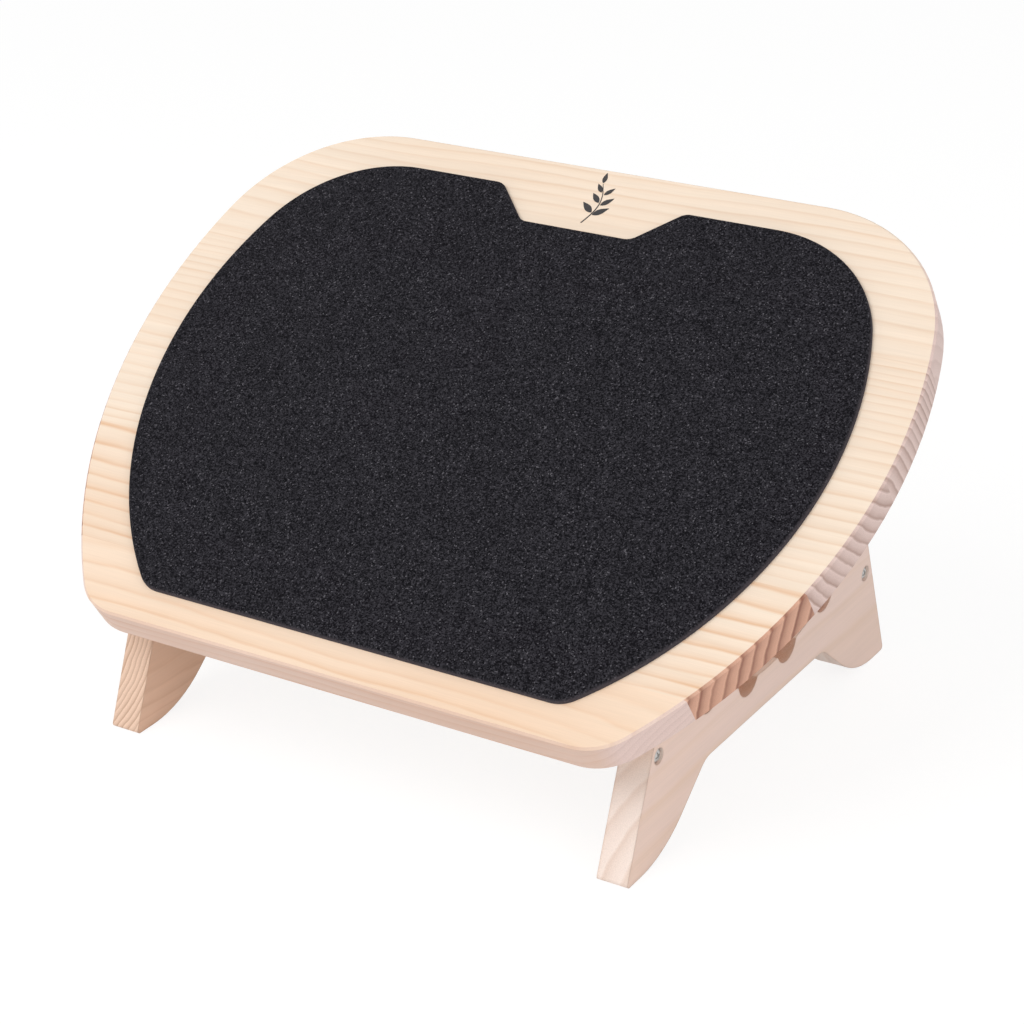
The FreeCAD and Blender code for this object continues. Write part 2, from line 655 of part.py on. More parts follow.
def build_wood_screw():
    """A countersunk screw whose flat head ends at Z = 0."""
    body = new_body("batten_screw")
    length = size("batten_height") - size("wood_screw_sink") + size("wood_screw_bite")
    shank = size("wood_screw_radius")
    cone = size("wood_screw_head_height")
    spots = [point(0, -length), point(shank, size("screw_tip") - length), point(shank, -cone)]
    spots += [point(size("wood_screw_head_radius"), 0), point(0, 0), point(0, -length)]
    revolve(body, polyline(spots))
    cut_cross_slot(body, 0)
    return body


def build_washer():
    """A washer that lies on Z = 0."""
    body = new_body("washer")
    radii = (size("washer_radius"), size("screw_radius") + size("turning_clearance"))
    circles = [Part.Circle(point(0, 0), Z_AXIS, radius) for radius in radii]
    add_pad(body, "XY_Plane", circles, "S.joint_gap - 2 * S.turning_clearance")
    return body


def build_pin():
    """A pin that points along Y, from inside the bar out to the arm's back."""
    body = new_body("prop_bar_pin")
    circle = Part.Circle(point(0, 0), Z_AXIS, size("pin_radius"))
    add_pad(body, "XZ_Plane", [circle], "S.pin_bite + S.arm_foot_radius - S.pin_sink", -1)
    return body


def both_sides(across, centre, way):
    """A place on each side, where way 1 points a piece's top outward and way -1 inward."""
    places = []
    for side in SIDES.values():
        places.append(Placement(centre + X_AXIS * side * across, Rotation(Z_AXIS, X_AXIS * side * way)))
    return places


def build_fasteners():
    """All the groups of screws, washers and pins."""
    seat = size("rail_outer_half") - size("recess_depth")
    clearance = size("turning_clearance")
    in_rail = size("rail_thickness") - size("recess_depth")
    pivot_length = in_rail + size("joint_gap") + size("pivot_bite") + clearance
    arm_length = size("arm_thickness") - size("recess_depth")
    hinge_length = arm_length + size("joint_gap") + size("pivot_bite") + clearance
    cross_bar_fixing = PIVOT + Y_AXIS * (size("pivot_offset") + size("fixing_offset"))
    pivot_screw = build_pan_screw("pivot_screw", pivot_length)
    hinge_screw = build_pan_screw("prop_hinge_screw", hinge_length)
    bar_screw = build_pan_screw("cross_bar_screw", in_rail + size("cross_bar_bite"))
    washer = build_washer()
    pin = build_pin()
    wood_screw = build_wood_screw()
    arm_floor = ARM_INNER + size("recess_depth") - clearance
    screw_spots = []
    pin_spots = []
    for side in SIDES.values():
        for along in BATTEN_SCREWS:
            height = BATTEN_FLOOR + size("wood_screw_sink")
            spot = Vector(side * (BATTEN_INNER + BATTEN_OUTER) / 2, along, height)
            screw_spots.append(BOARD_PLACE * Placement(spot, Rotation(X_AXIS, 2 * QUARTER_TURN)))
        spot = Vector(side * (ARM_INNER + ARM_OUTER) / 2, -size("pin_bite"), -ARM_LENGTH)
        pin_spots.append(PROP_PLACE * Placement(spot, Rotation()))
    return [
        place_copies("pivot_screws", pivot_screw, both_sides(seat + clearance, PIVOT, 1)),
        place_copies("pivot_washers", washer, both_sides(BATTEN_OUTER, PIVOT, 1)),
        place_copies("prop_hinge_screws", hinge_screw, both_sides(arm_floor, HINGE, -1)),
        place_copies("prop_washers", washer, both_sides(BATTEN_INNER, HINGE, -1)),
        place_copies("cross_bar_screws", bar_screw, both_sides(seat, cross_bar_fixing, 1)),
        place_copies("batten_screws", wood_screw, screw_spots),
        place_copies("prop_bar_pins", pin, pin_spots),
    ]


def build_all():
    """Build every piece."""
    pieces = [build_plank(index) for index in range(PLANK_COUNT)]
    pieces.append(build_pad())
    pieces += [build_rail(side_name) for side_name in SIDES]
    pieces.append(build_cross_bar())
    pieces += [build_batten(side_name) for side_name in SIDES]
    pieces += [build_arm(side_name) for side_name in SIDES]
    pieces.append(build_bar())
    return pieces + build_fasteners()


def check(pieces):
    """Stop if any object failed or any piece has no valid shape."""
    document.recompute()
    failed = [thing.Name for thing in document.Objects if {"Invalid", "Error"} & set(thing.State)]
    bad = [piece.Label for piece in pieces if piece.Shape.isNull() or not piece.Shape.isValid()]
    if failed or bad:
        raise RuntimeError("failed objects %s, bad shapes %s" % (failed, bad))


def write(pieces):
    """Write one file for each piece."""
    os.makedirs("parts", exist_ok=True)
    for piece in pieces:
        piece.Shape.exportStep("parts/%s.step" % piece.Label)
        print("%s: %d solid(s), %.1f mm3" % (piece.Label, len(piece.Shape.Solids), piece.Shape.Volume))


pieces = build_all()
check(pieces)
write(pieces)
print("pivot", PIVOT, "hinge", HINGE, "bar", BAR, "arm length %.2f, lean %.2f" % (ARM_LENGTH, ARM_LEAN))
print("bar in its nest", BAR_NEST, "rail middle %.3f" % RAIL_MIDDLE)
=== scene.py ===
"""The looks of a tilting pine footrest with a foam pad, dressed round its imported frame."""
import logging
import math
from dataclasses import dataclass, field
from enum import Enum

import bmesh
import bpy
from mathutils import Euler, Matrix, Vector


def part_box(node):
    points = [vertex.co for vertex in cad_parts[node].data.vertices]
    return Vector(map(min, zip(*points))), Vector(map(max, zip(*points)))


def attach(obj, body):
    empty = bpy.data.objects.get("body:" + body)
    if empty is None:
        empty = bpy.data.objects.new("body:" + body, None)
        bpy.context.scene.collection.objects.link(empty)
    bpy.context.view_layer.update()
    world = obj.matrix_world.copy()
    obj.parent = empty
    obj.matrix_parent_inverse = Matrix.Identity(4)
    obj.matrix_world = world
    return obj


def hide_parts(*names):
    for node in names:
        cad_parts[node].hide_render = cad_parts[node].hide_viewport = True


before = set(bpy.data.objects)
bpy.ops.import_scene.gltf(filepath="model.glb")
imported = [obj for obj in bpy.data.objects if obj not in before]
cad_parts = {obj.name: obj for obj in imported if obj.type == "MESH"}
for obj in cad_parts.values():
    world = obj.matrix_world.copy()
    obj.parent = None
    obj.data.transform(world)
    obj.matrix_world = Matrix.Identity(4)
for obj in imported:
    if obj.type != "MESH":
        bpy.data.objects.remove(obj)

LOG = logging.getLogger("footrest")
MM = 0.001
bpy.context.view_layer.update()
PIVOT = Vector((0.0, -111.26661464 * MM, 61.6 * MM))
BOARD_TILT = 33.2
Colour = tuple[float, float, float]
Stops = list[tuple[float, float]]
WHITE: Colour = (1.0, 1.0, 1.0)
EVEN = (1.0, 1.0, 1.0)


# Node helpers.


@dataclass(frozen=True)
class Pattern:
    """A smooth noise: features per metre, stretch of its coordinates, octaves, strength of the finer ones."""

    scale: float
    stretch: tuple[float, float, float] = EVEN
    detail: float = 2.0
    rough: float = 0.5


class Graph:
    """A node tree under construction."""

    def __init__(self, tree: bpy.types.NodeTree) -> None:
        """Start on an empty tree.

        Args:
            tree: the tree that takes the nodes.
        """
        tree.nodes.clear()
        self.tree = tree

    def add(self, kind: str, settings: dict | None = None, **inputs: object) -> bpy.types.Node:
        """Add a node.

        Args:
            kind: the node's type name.
            settings: attributes of the node, set before its sockets are.
            inputs: socket names, with spaces as underscores, and a value or a socket for each.

        Returns:
            The new node.
        """
        node = self.tree.nodes.new(kind)
        for name, value in (settings or {}).items():
            setattr(node, name, value)
        for name, value in inputs.items():
            self.feed(node, name.replace("_", " "), value)
        return node

    def feed(self, node: bpy.types.Node, name: str | int, value: object) -> None:
        """Give one input its value or its link.

        Args:
            node: the node.
            name: the input's name or number.
            value: a value, or the socket to link.
        """
        socket = node.inputs[name]
        if isinstance(value, bpy.types.NodeSocket):
            self.tree.links.new(value, socket)
        else:
            socket.default_value = value

    def math(self, operation: str, *terms: object) -> bpy.types.NodeSocket:
        """Work out a number.

        Args:
            operation: the operation's name.
            terms: its numbers or sockets.

        Returns:
            The result's socket.
        """
        node = self.add("ShaderNodeMath", {"operation": operation})
        for number, term in enumerate(terms):
            self.feed(node, number, term)
        return node.outputs[0]

    def vector(self, operation: str, *terms: object) -> bpy.types.NodeSocket:
        """Work out a vector.

        Args:
            operation: the operation's name.
            terms: its vectors or sockets.

        Returns:
            The result's socket.
        """
        node = self.add("ShaderNodeVectorMath", {"operation": operation})
        for number, term in enumerate(terms):
            self.feed(node, number, term)
        return node.outputs["Value" if operation in ("LENGTH", "DOT_PRODUCT") else 0]

    def mix(self, factor: object, first: object, second: object, blend: str = "MIX") -> bpy.types.NodeSocket:
        """Mix two colours.

        Args:
            factor: how much of the second.
            first: a colour or a socket.
            second: a colour or a socket.
            blend: the blend's name.

        Returns:
            The mixed colour's socket.
        """
        node = self.add("ShaderNodeMix", {"data_type": "RGBA", "blend_type": blend})
        for number, value in ((0, factor), (6, first), (7, second)):
            if isinstance(value, tuple):
                value = (*value, 1.0)
            self.feed(node, number, value)
        return node.outputs[2]

    def ramp(self, value: object, stops: Stops) -> bpy.types.NodeSocket:
        """Bend a number through a ramp of greys.

        Args:
            value: the number's socket.
            stops: places along the ramp and the grey at each.

        Returns:
            The bent number's socket.
        """
        node = self.add("ShaderNodeValToRGB", Fac=value)
        elements = node.color_ramp.elements
        while len(elements) < len(stops):
            elements.new(1.0)
        for element, (place, grey) in zip(elements, stops):
            element.position = place
            element.color = (grey, grey, grey, 1.0)
        return node.outputs[0]

    def noise(self, place: object, pattern: Pattern) -> bpy.types.NodeSocket:
        """Sample a smooth noise.

        Args:
            place: the coordinates.
            pattern: its size, stretch and octaves.

        Returns:
            The noise value's socket, from 0 to 1.
        """
        if pattern.stretch != EVEN:
            place = self.vector("MULTIPLY", place, pattern.stretch)
        node = self.add("ShaderNodeTexNoise", Vector=place, Scale=pattern.scale)
        self.feed(node, "Detail", pattern.detail)
        self.feed(node, "Roughness", pattern.rough)
        return node.outputs[0]

    def surface(self, colour: object, rough: object, normal: object = None, shine: float = 0.5,
                metal: float = 0.0) -> None:
        """End a material's tree with its surface.

        Args:
            colour: the colour or its socket.
            rough: the roughness or its socket.
            normal: the bent normal's socket, if there is one.
            shine: the level of mirror light.
            metal: 1 for metal.
        """
        shader = self.add("ShaderNodeBsdfPrincipled", Base_Color=colour, Roughness=rough, Metallic=metal)
        self.feed(shader, "Specular IOR Level", shine)
        if normal is not None:
            self.feed(shader, "Normal", normal)
        self.add("ShaderNodeOutputMaterial", Surface=shader.outputs[0])


def new_material(name: str) -> tuple[bpy.types.Material, Graph]:
    """Start a material.

    Args:
        name: its name.

    Returns:
        The material and its empty tree.
    """
    material = bpy.data.materials.new(name)
    material.use_nodes = True
    return material, Graph(material.node_tree)


# Finishes. Each pair called roughness holds what a pattern adds to it, and its least value.


class Grain(Enum):
    """Which way the fibres run, as the turn that brings them to X."""

    ACROSS_BOARD = (-BOARD_TILT, 0.0, 0.0)
    ALONG_RAIL = (0.0, 0.0, -90.0)
    ACROSS = (0.0, 0.0, 0.0)
    ALONG_BATTEN = (-BOARD_TILT, 0.0, -90.0)
    ALONG_ARM = (8.21, 90.0, 0.0)


# Pine's patterns.
DRIFT = Pattern(3.1, (1.0, 2.2, 2.2), 1.0)
RIPPLES = Pattern(95.0, (0.22, 1.0, 1.0))
PATCHES = Pattern(26.0, (0.45, 1.0, 1.0))
FIBRES = Pattern(1500.0, (0.02, 1.0, 1.0), 3.0, 0.6)
STREAKS = Pattern(190.0, (0.05, 1.0, 1.0), 3.0, 0.55)
BLUSHES = Pattern(11.0, (0.4, 1.0, 1.0))
PORES = Pattern(2100.0, rough=0.6)
RUBS = Pattern(46.0, detail=3.0)

# Ramps from a measured value to a share or a shade.
END_GRAIN: Stops = [(0.35, 0.0), (0.65, 1.0)]
LONG_EDGE: Stops = [(0.45, 0.0), (0.80, 1.0)]
LATE_WOOD: Stops = [(0.0, 0.0), (0.34, 0.10), (0.62, 0.40), (0.80, 1.0), (0.89, 0.35), (0.95, 0.0)]
PATCH_SHARE: Stops = [(0.32, 0.45), (0.62, 1.0)]
STREAK_SHADE: Stops = [(0.30, 0.94), (0.68, 1.0)]
BLUSH_SHARE: Stops = [(0.40, 0.0), (0.80, 0.28)]
PORE_SHADE: Stops = [(0.30, 0.80), (0.60, 1.0)]
FIBRE_SHADE: Stops = [(0.25, 0.93), (0.65, 1.0)]
EDGE_WEAR: Stops = [(0.45, 1.0), (0.85, 0.0)]
HOLLOW_SHADE_RAMP: Stops = [(0.80, 1.0), (0.97, 0.0)]
CLOUD_SHADE: Stops = [(0.3, 0.86), (0.7, 1.0)]
SPARKLE_CHANCE: Stops = [(0.965, 0.0), (0.990, 1.0)]
RIM_SHEEN_FACING: Stops = [(0.15, 1.0), (0.80, 0.0)]
RIM_SHEEN_GRAIN: Stops = [(0.3, 0.5), (0.7, 1.0)]
INK_WEAR: Stops = [(0.45, 0.0), (0.85, 1.0)]
FLOOR_TONE: Stops = [(0.3, 0.955), (0.7, 0.965)]

# Strengths of pine's marks; the pair is what chance adds to a ring's strength, and its least.
RING_STRENGTH = (0.55, 0.45)
END_LINE_POWER = 0.6
STREAK_STRENGTH = 0.8
PORE_STRENGTH = 0.6
FIBRE_STRENGTH = 0.7
RING_RELIEF = 0.5
FIBRE_RELIEF = 0.35
RELIEF_STRENGTH = 0.22

# Lengths in metres, the rubbed stain, and the painted shade of the rails' hollows.
RIPPLE_REACH = 0.0024
WEAR_REACH = 0.0022
HOLLOW_REACH = 0.030
SEATS_REACH = 95.0 * MM
RELIEF_DEPTH = 0.0003
RUBBED: Colour = (0.60, 0.40, 0.27)
PAINTED_HOLLOW_SHADE: Colour = (0.42, 0.16, 0.067)


@dataclass(frozen=True)
class Pine:
    """Sanded pine whose growth rings run through the solid, so that faces and ends agree."""

    name: str
    grain: Grain
    heart: tuple[float, float] = (0.03, -0.07)
    ring: float = 0.0062
    seed: float = 0.0
    crowding: float = 0.0
    drift: float = 0.022
    early: Colour = (0.925, 0.780, 0.640)
    late: Colour = (0.790, 0.550, 0.370)
    end_early: Colour = (0.830, 0.640, 0.590)
    end_late: Colour = (0.610, 0.430, 0.380)
    face_contrast: float = 0.45
    end_contrast: float = 0.90
    painted_edge_shade: Colour = WHITE
    wear: float = 0.45
    hollow_shade: float = 0.0
    soft_edge: float = 1.1 * MM
    roughness: tuple[float, float] = (0.16, 0.44)
    shine: float = 0.35

    def make(self, centre: Vector) -> bpy.types.Material:
        """Build the material.

        Args:
            centre: the middle of the piece, where the pattern is centred.

        Returns:
            The material.
        """
        material, graph = new_material(self.name)
        turn = Euler([math.radians(angle) for angle in self.grain.value], "XYZ")
        coordinates = graph.add("ShaderNodeTexCoord").outputs
        shift = -(turn.to_matrix() @ centre) + Vector((self.seed * 0.7, 0.0, 0.0))
        mapping = graph.add("ShaderNodeMapping", Vector=coordinates["Object"], Rotation=turn, Location=shift)
        place = mapping.outputs[0]
        kind = {"vector_type": "VECTOR"}
        facing = graph.add("ShaderNodeMapping", kind, Vector=coordinates["Normal"], Rotation=turn)
        facing_parts = graph.add("ShaderNodeSeparateXYZ", Vector=facing.outputs[0])
        end = graph.ramp(graph.math("ABSOLUTE", facing_parts.outputs[0]), END_GRAIN)

        # Growth rings: distance from the heart, bent slowly along the plank and roughened a little.
        parts = graph.add("ShaderNodeSeparateXYZ", Vector=place)
        drift = graph.math("SUBTRACT", graph.noise(place, DRIFT), 0.5)
        across = graph.math("ADD", parts.outputs[1], graph.math("MULTIPLY", drift, self.drift))
        across = graph.math("SUBTRACT", across, self.heart[0])
        height = graph.math("SUBTRACT", parts.outputs[2], self.heart[1])
        flat = graph.add("ShaderNodeCombineXYZ", X=0.0, Y=across, Z=height)
        distance = graph.vector("LENGTH", flat.outputs[0])
        ripple = graph.math("SUBTRACT", graph.noise(place, RIPPLES), 0.5)
        distance = graph.math("ADD", distance, graph.math("MULTIPLY", ripple, RIPPLE_REACH))

        # Rings crowd together away from the heart; the middle of the piece has the named spacing.
        reach = math.hypot(*self.heart)
        growth = 1.0 + self.crowding
        share = graph.math("POWER", graph.math("DIVIDE", distance, reach), growth)
        rings = graph.math("MULTIPLY_ADD", share, reach / (self.ring * growth), self.seed)
        phase = graph.math("FRACT", rings)
        late = graph.ramp(phase, LATE_WOOD)
        number = graph.math("FLOOR", rings)
        ring_tone = graph.add("ShaderNodeTexWhiteNoise", {"noise_dimensions": "1D"}, W=number)
        strength = graph.math("MULTIPLY_ADD", ring_tone.outputs[0], *RING_STRENGTH)
        patch = graph.ramp(graph.noise(place, PATCHES), PATCH_SHARE)
        line = graph.math("MULTIPLY", late, graph.math("MULTIPLY", strength, patch))
        late = graph.math("MULTIPLY", late, strength)

        # Fine fibres along the plank, and pores on its ends.
        fibre = graph.noise(place, FIBRES)
        streak = graph.noise(place, STREAKS)
        pores = graph.noise(place, PORES)
        blush = graph.noise(place, BLUSHES)

        face = graph.mix(graph.math("MULTIPLY", line, self.face_contrast), self.early, self.late)
        face = graph.mix(STREAK_STRENGTH, face, graph.ramp(streak, STREAK_SHADE), "MULTIPLY")
        warm = graph.mix(graph.ramp(blush, BLUSH_SHARE), face, self.late)
        end_line = graph.math("MULTIPLY", graph.math("POWER", late, END_LINE_POWER), self.end_contrast)
        ends = graph.mix(end_line, self.end_early, self.end_late)
        ends = graph.mix(PORE_STRENGTH, ends, graph.ramp(pores, PORE_SHADE), "MULTIPLY")
        long_edge = graph.ramp(graph.math("ABSOLUTE", facing_parts.outputs[1]), LONG_EDGE)
        # Painted shade: faces along a plank's length, such as the board's front edge, are painted darker and
        # bluer by this tint.
        warm = graph.mix(1.0, warm, graph.mix(long_edge, WHITE, self.painted_edge_shade), "MULTIPLY")
        colour = graph.mix(end, warm, ends)
        colour = graph.mix(FIBRE_STRENGTH, colour, graph.ramp(fibre, FIBRE_SHADE), "MULTIPLY")

        # Loose pieces are a little darker along their edges, where hands and shoes have rubbed the finish.
        if self.wear:
            rays = {"inside": True, "only_local": True, "samples": 6}
            worn = graph.add("ShaderNodeAmbientOcclusion", rays, Distance=WEAR_REACH)
            edge = graph.ramp(worn.outputs["AO"], EDGE_WEAR)
            rub = graph.math("MULTIPLY", edge, graph.noise(place, RUBS))
            colour = graph.mix(graph.math("MULTIPLY", rub, self.wear), colour, RUBBED)

        # Painted shade: near a rail's middle, the rail's own occlusion finds its hollows, and they are
        # painted browner there, standing in for the shade inside the seats.
        if self.hollow_shade:
            rays = {"only_local": True, "samples": 8}
            depth = graph.add("ShaderNodeAmbientOcclusion", rays, Distance=HOLLOW_REACH)
            shade_share = graph.ramp(depth.outputs["AO"], HOLLOW_SHADE_RAMP)
            along = graph.add("ShaderNodeSeparateXYZ", Vector=coordinates["Object"]).outputs[1]
            apart = graph.math("ABSOLUTE", graph.math("SUBTRACT", along, centre.y))
            near = graph.math("LESS_THAN", apart, SEATS_REACH)
            shade_share = graph.math("MULTIPLY", shade_share, graph.math("MULTIPLY", near, self.hollow_shade))
            colour = graph.mix(shade_share, colour, PAINTED_HOLLOW_SHADE)

        raised = graph.math("MULTIPLY", late, RING_RELIEF)
        relief = graph.math("ADD", raised, graph.math("MULTIPLY", fibre, FIBRE_RELIEF))
        bump = graph.add("ShaderNodeBump", Strength=RELIEF_STRENGTH, Distance=RELIEF_DEPTH, Height=relief)
        normal = bump.outputs[0]
        if self.soft_edge:
            bevel = {"samples": 4}
            normal = graph.add("ShaderNodeBevel", bevel, Radius=self.soft_edge, Normal=normal).outputs[0]
        rough = graph.math("MULTIPLY_ADD", fibre, *self.roughness)
        graph.surface(colour, rough, normal, self.shine)
        return material


@dataclass(frozen=True)
class Foam:
    """Black closed-cell foam with a fine, sparkling grain."""

    name: str = "foam"
    base: Colour = (0.0035, 0.0033, 0.0050)
    speck: Colour = (0.048, 0.046, 0.055)
    sparkle: Colour = (0.110, 0.106, 0.120)
    painted_rim_sheen: Colour = (0.085, 0.077, 0.092)
    cells: float = 1450.0
    cell_power: float = 1.7
    grain: Pattern = Pattern(1300.0, detail=3.0, rough=0.7)
    clouds: Pattern = Pattern(60.0, detail=3.0)
    cell_relief: float = 0.8
    bump: float = 0.55
    pit_depth: float = 0.0005
    roughness: tuple[float, float] = (0.2, 0.70)
    shine: float = 0.05

    def make(self) -> bpy.types.Material:
        """Build the material.

        Returns:
            The material.
        """
        material, graph = new_material(self.name)
        coordinates = graph.add("ShaderNodeTexCoord")
        place = coordinates.outputs["Object"]
        kind = {"feature": "F1"}
        cells = graph.add("ShaderNodeTexVoronoi", kind, Vector=place, Scale=self.cells, Randomness=1.0)
        grain = graph.noise(place, self.grain)
        chance = graph.add("ShaderNodeSeparateColor", Color=cells.outputs["Color"])
        cell_tone = graph.math("POWER", chance.outputs[0], self.cell_power)
        colour = graph.mix(cell_tone, self.base, self.speck)
        clouds = graph.ramp(graph.noise(place, self.clouds), CLOUD_SHADE)
        colour = graph.mix(1.0, colour, clouds, "MULTIPLY")
        bright = graph.ramp(chance.outputs[1], SPARKLE_CHANCE)
        colour = graph.mix(bright, colour, self.sparkle)

        # Painted sheen: the pad's side walls and rounded rim are painted paler than its top, standing in for
        # grazing light.
        tilt = math.radians(BOARD_TILT)
        upward = (0.0, -math.sin(tilt), math.cos(tilt))
        facing = graph.vector("DOT_PRODUCT", coordinates.outputs["Normal"], upward)
        rim_sheen = graph.math("MULTIPLY", graph.ramp(facing, RIM_SHEEN_FACING), graph.ramp(grain, RIM_SHEEN_GRAIN))
        colour = graph.mix(rim_sheen, colour, self.painted_rim_sheen)
        pits = graph.math("MULTIPLY", cells.outputs["Distance"], self.cell_relief)
        pits = graph.math("ADD", pits, grain)
        bump = graph.add("ShaderNodeBump", Strength=self.bump, Distance=self.pit_depth, Height=pits)
        rough = graph.math("MULTIPLY_ADD", grain, *self.roughness)
        graph.surface(colour, rough, bump.outputs[0], self.shine)
        return material


@dataclass(frozen=True)
class Zinc:
    """Bright zinc plating with fine scratches and a faint bloom."""

    name: str = "zinc"
    dull: Colour = (0.46, 0.45, 0.44)
    bright: Colour = (0.62, 0.61, 0.59)
    bloom: Pattern = Pattern(380.0, detail=3.0)
    scratches: Pattern = Pattern(5200.0, (1.0, 0.08, 1.0))
    bump: float = 0.2
    scratch_depth: float = 0.0001
    roughness: tuple[float, float] = (0.20, 0.18)

    def make(self) -> bpy.types.Material:
        """Build the material.

        Returns:
            The material.
        """
        material, graph = new_material(self.name)
        place = graph.add("ShaderNodeTexCoord").outputs["Object"]
        bloom = graph.noise(place, self.bloom)
        scratch = graph.noise(place, self.scratches)
        colour = graph.mix(bloom, self.dull, self.bright)
        rough = graph.math("MULTIPLY_ADD", graph.math("ADD", bloom, scratch), *self.roughness)
        bump = graph.add("ShaderNodeBump", Strength=self.bump, Distance=self.scratch_depth, Height=scratch)
        graph.surface(colour, rough, bump.outputs[0], metal=1.0)
        return material


@dataclass(frozen=True)
class Ink:
    """Black ink soaked a little into the wood."""

    name: str = "black_print"
    full: Colour = (0.020, 0.018, 0.020)
    thin: Colour = (0.085, 0.070, 0.062)
    fibres: Pattern = Pattern(1400.0, (0.04, 1.0, 1.0), 3.0)
    roughness: tuple[float, float] = (0.25, 0.5)

    def make(self) -> bpy.types.Material:
        """Build the material.

        Returns:
            The material.
        """
        material, graph = new_material(self.name)
        place = graph.add("ShaderNodeTexCoord").outputs["Object"]
        fibre = graph.noise(place, self.fibres)
        colour = graph.mix(graph.ramp(fibre, INK_WEAR), self.full, self.thin)
        graph.surface(colour, graph.math("MULTIPLY_ADD", fibre, *self.roughness))
        return material


# Mesh helpers.


def finish_mesh(name: str, mesh: bmesh.types.BMesh, material: bpy.types.Material,
                smooth: float = 35.0) -> bpy.types.Object:
    """Turn an edit mesh into a shown object at the origin.

    Args:
        name: the object's name.
        mesh: the edit mesh, which is freed.
        material: its material.
        smooth: edges flatter than this, in degrees, are shaded smooth.

    Returns:
        The object.
    """
    bmesh.ops.recalc_face_normals(mesh, faces=mesh.faces)
    data = bpy.data.meshes.new(name)
    mesh.to_mesh(data)
    mesh.free()
    data.materials.append(material)
    for polygon in data.polygons:
        polygon.use_smooth = True
    data.set_sharp_from_angle(angle=math.radians(smooth))
    piece = bpy.data.objects.new(name, data)
    bpy.context.scene.collection.objects.link(piece)
    return piece


def dress(node: str, material: bpy.types.Material) -> None:
    """Give a frame node its finish.

    Args:
        node: the node's name.
        material: the material for all its slots.
    """
    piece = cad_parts[node]
    if not piece.material_slots:
        piece.data.materials.append(material)
    for slot in piece.material_slots:
        slot.link = "OBJECT"
        slot.material = material


def middle(node: str) -> Vector:
    """The middle of a node's box.

    Args:
        node: the node's name.

    Returns:
        The middle, in metres.
    """
    low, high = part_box(node)
    return (Vector(low) + Vector(high)) / 2


# Sub-assemblies.


@dataclass
class BoardPlane:
    """The tilted plane of the board, in which the pad and the print are drawn."""

    tilt: float = BOARD_TILT
    setback: float = 30.1 * MM
    underside: float = 28.4 * MM
    thickness: float = 20.0 * MM
    pivot: Vector = field(default_factory=PIVOT.copy)

    def place(self, across: float, along: float, above: float) -> Vector:
        """A point given on the board.

        Args:
            across: metres to the right of the middle.
            along: metres behind the front edge.
            above: metres above the board's top.

        Returns:
            The point in the row frame.
        """
        local = Vector((across, along - self.setback, self.underside + self.thickness + above))
        return self.pivot + Matrix.Rotation(math.radians(self.tilt), 3, "X") @ local


@dataclass
class Board:
    """The glued pine panel: five planks in their frame shapes, each sawn from its own part of a tree."""

    wide_ends: Colour = (0.760, 0.425, 0.300)
    wide_ends_late: Colour = (0.260, 0.095, 0.058)
    plain_ends_late: Colour = (0.420, 0.260, 0.210)
    strong: Colour = (0.760, 0.440, 0.235)
    orange: Colour = (0.925, 0.735, 0.575)
    # Painted shade for the front plank's long edges, darker and bluer than its top.
    painted_edge_shade: Colour = (0.835, 0.791, 0.863)

    def planks(self) -> list[Pine]:
        """The finishes of the planks, from the front to the back.

        Returns:
            One finish for each plank.
        """
        glued = {"drift": 0.016, "wear": 0.0, "soft_edge": 0.0}
        drawn_out = {**glued, "drift": 0.030}
        across = Grain.ACROSS_BOARD
        return [
            Pine("pine_plank_1", across, (0.030, -0.045), 0.0046, 0.37, early=self.orange, late=self.strong,
                 face_contrast=0.52, end_contrast=0.35, painted_edge_shade=self.painted_edge_shade, **drawn_out),
            Pine("pine_plank_2", across, (0.114, -0.064), 0.0076, 0.74, 1.0, late=self.strong,
                 face_contrast=1.0, end_early=self.wide_ends, end_late=self.wide_ends_late, end_contrast=1.0,
                 **glued),
            Pine("pine_plank_3", across, (0.075, 0.030), 0.0062, 1.11, 0.4, face_contrast=0.80,
                 end_late=self.plain_ends_late, **glued),
            Pine("pine_plank_4", across, (-0.120, -0.018), 0.0053, 1.48, 1.0, face_contrast=0.80,
                 end_late=self.plain_ends_late, **glued),
            Pine("pine_plank_5", across, (-0.090, -0.040), 0.0070, 1.85, 0.5, face_contrast=0.62,
                 end_contrast=0.45, **drawn_out),
        ]

    def build(self) -> None:
        """Dress every plank."""
        for number, finish in enumerate(self.planks(), start=1):
            node = f"board_plank_{number}"
            dress(node, finish.make(middle(node)))
            LOG.info("dressed %s", node)


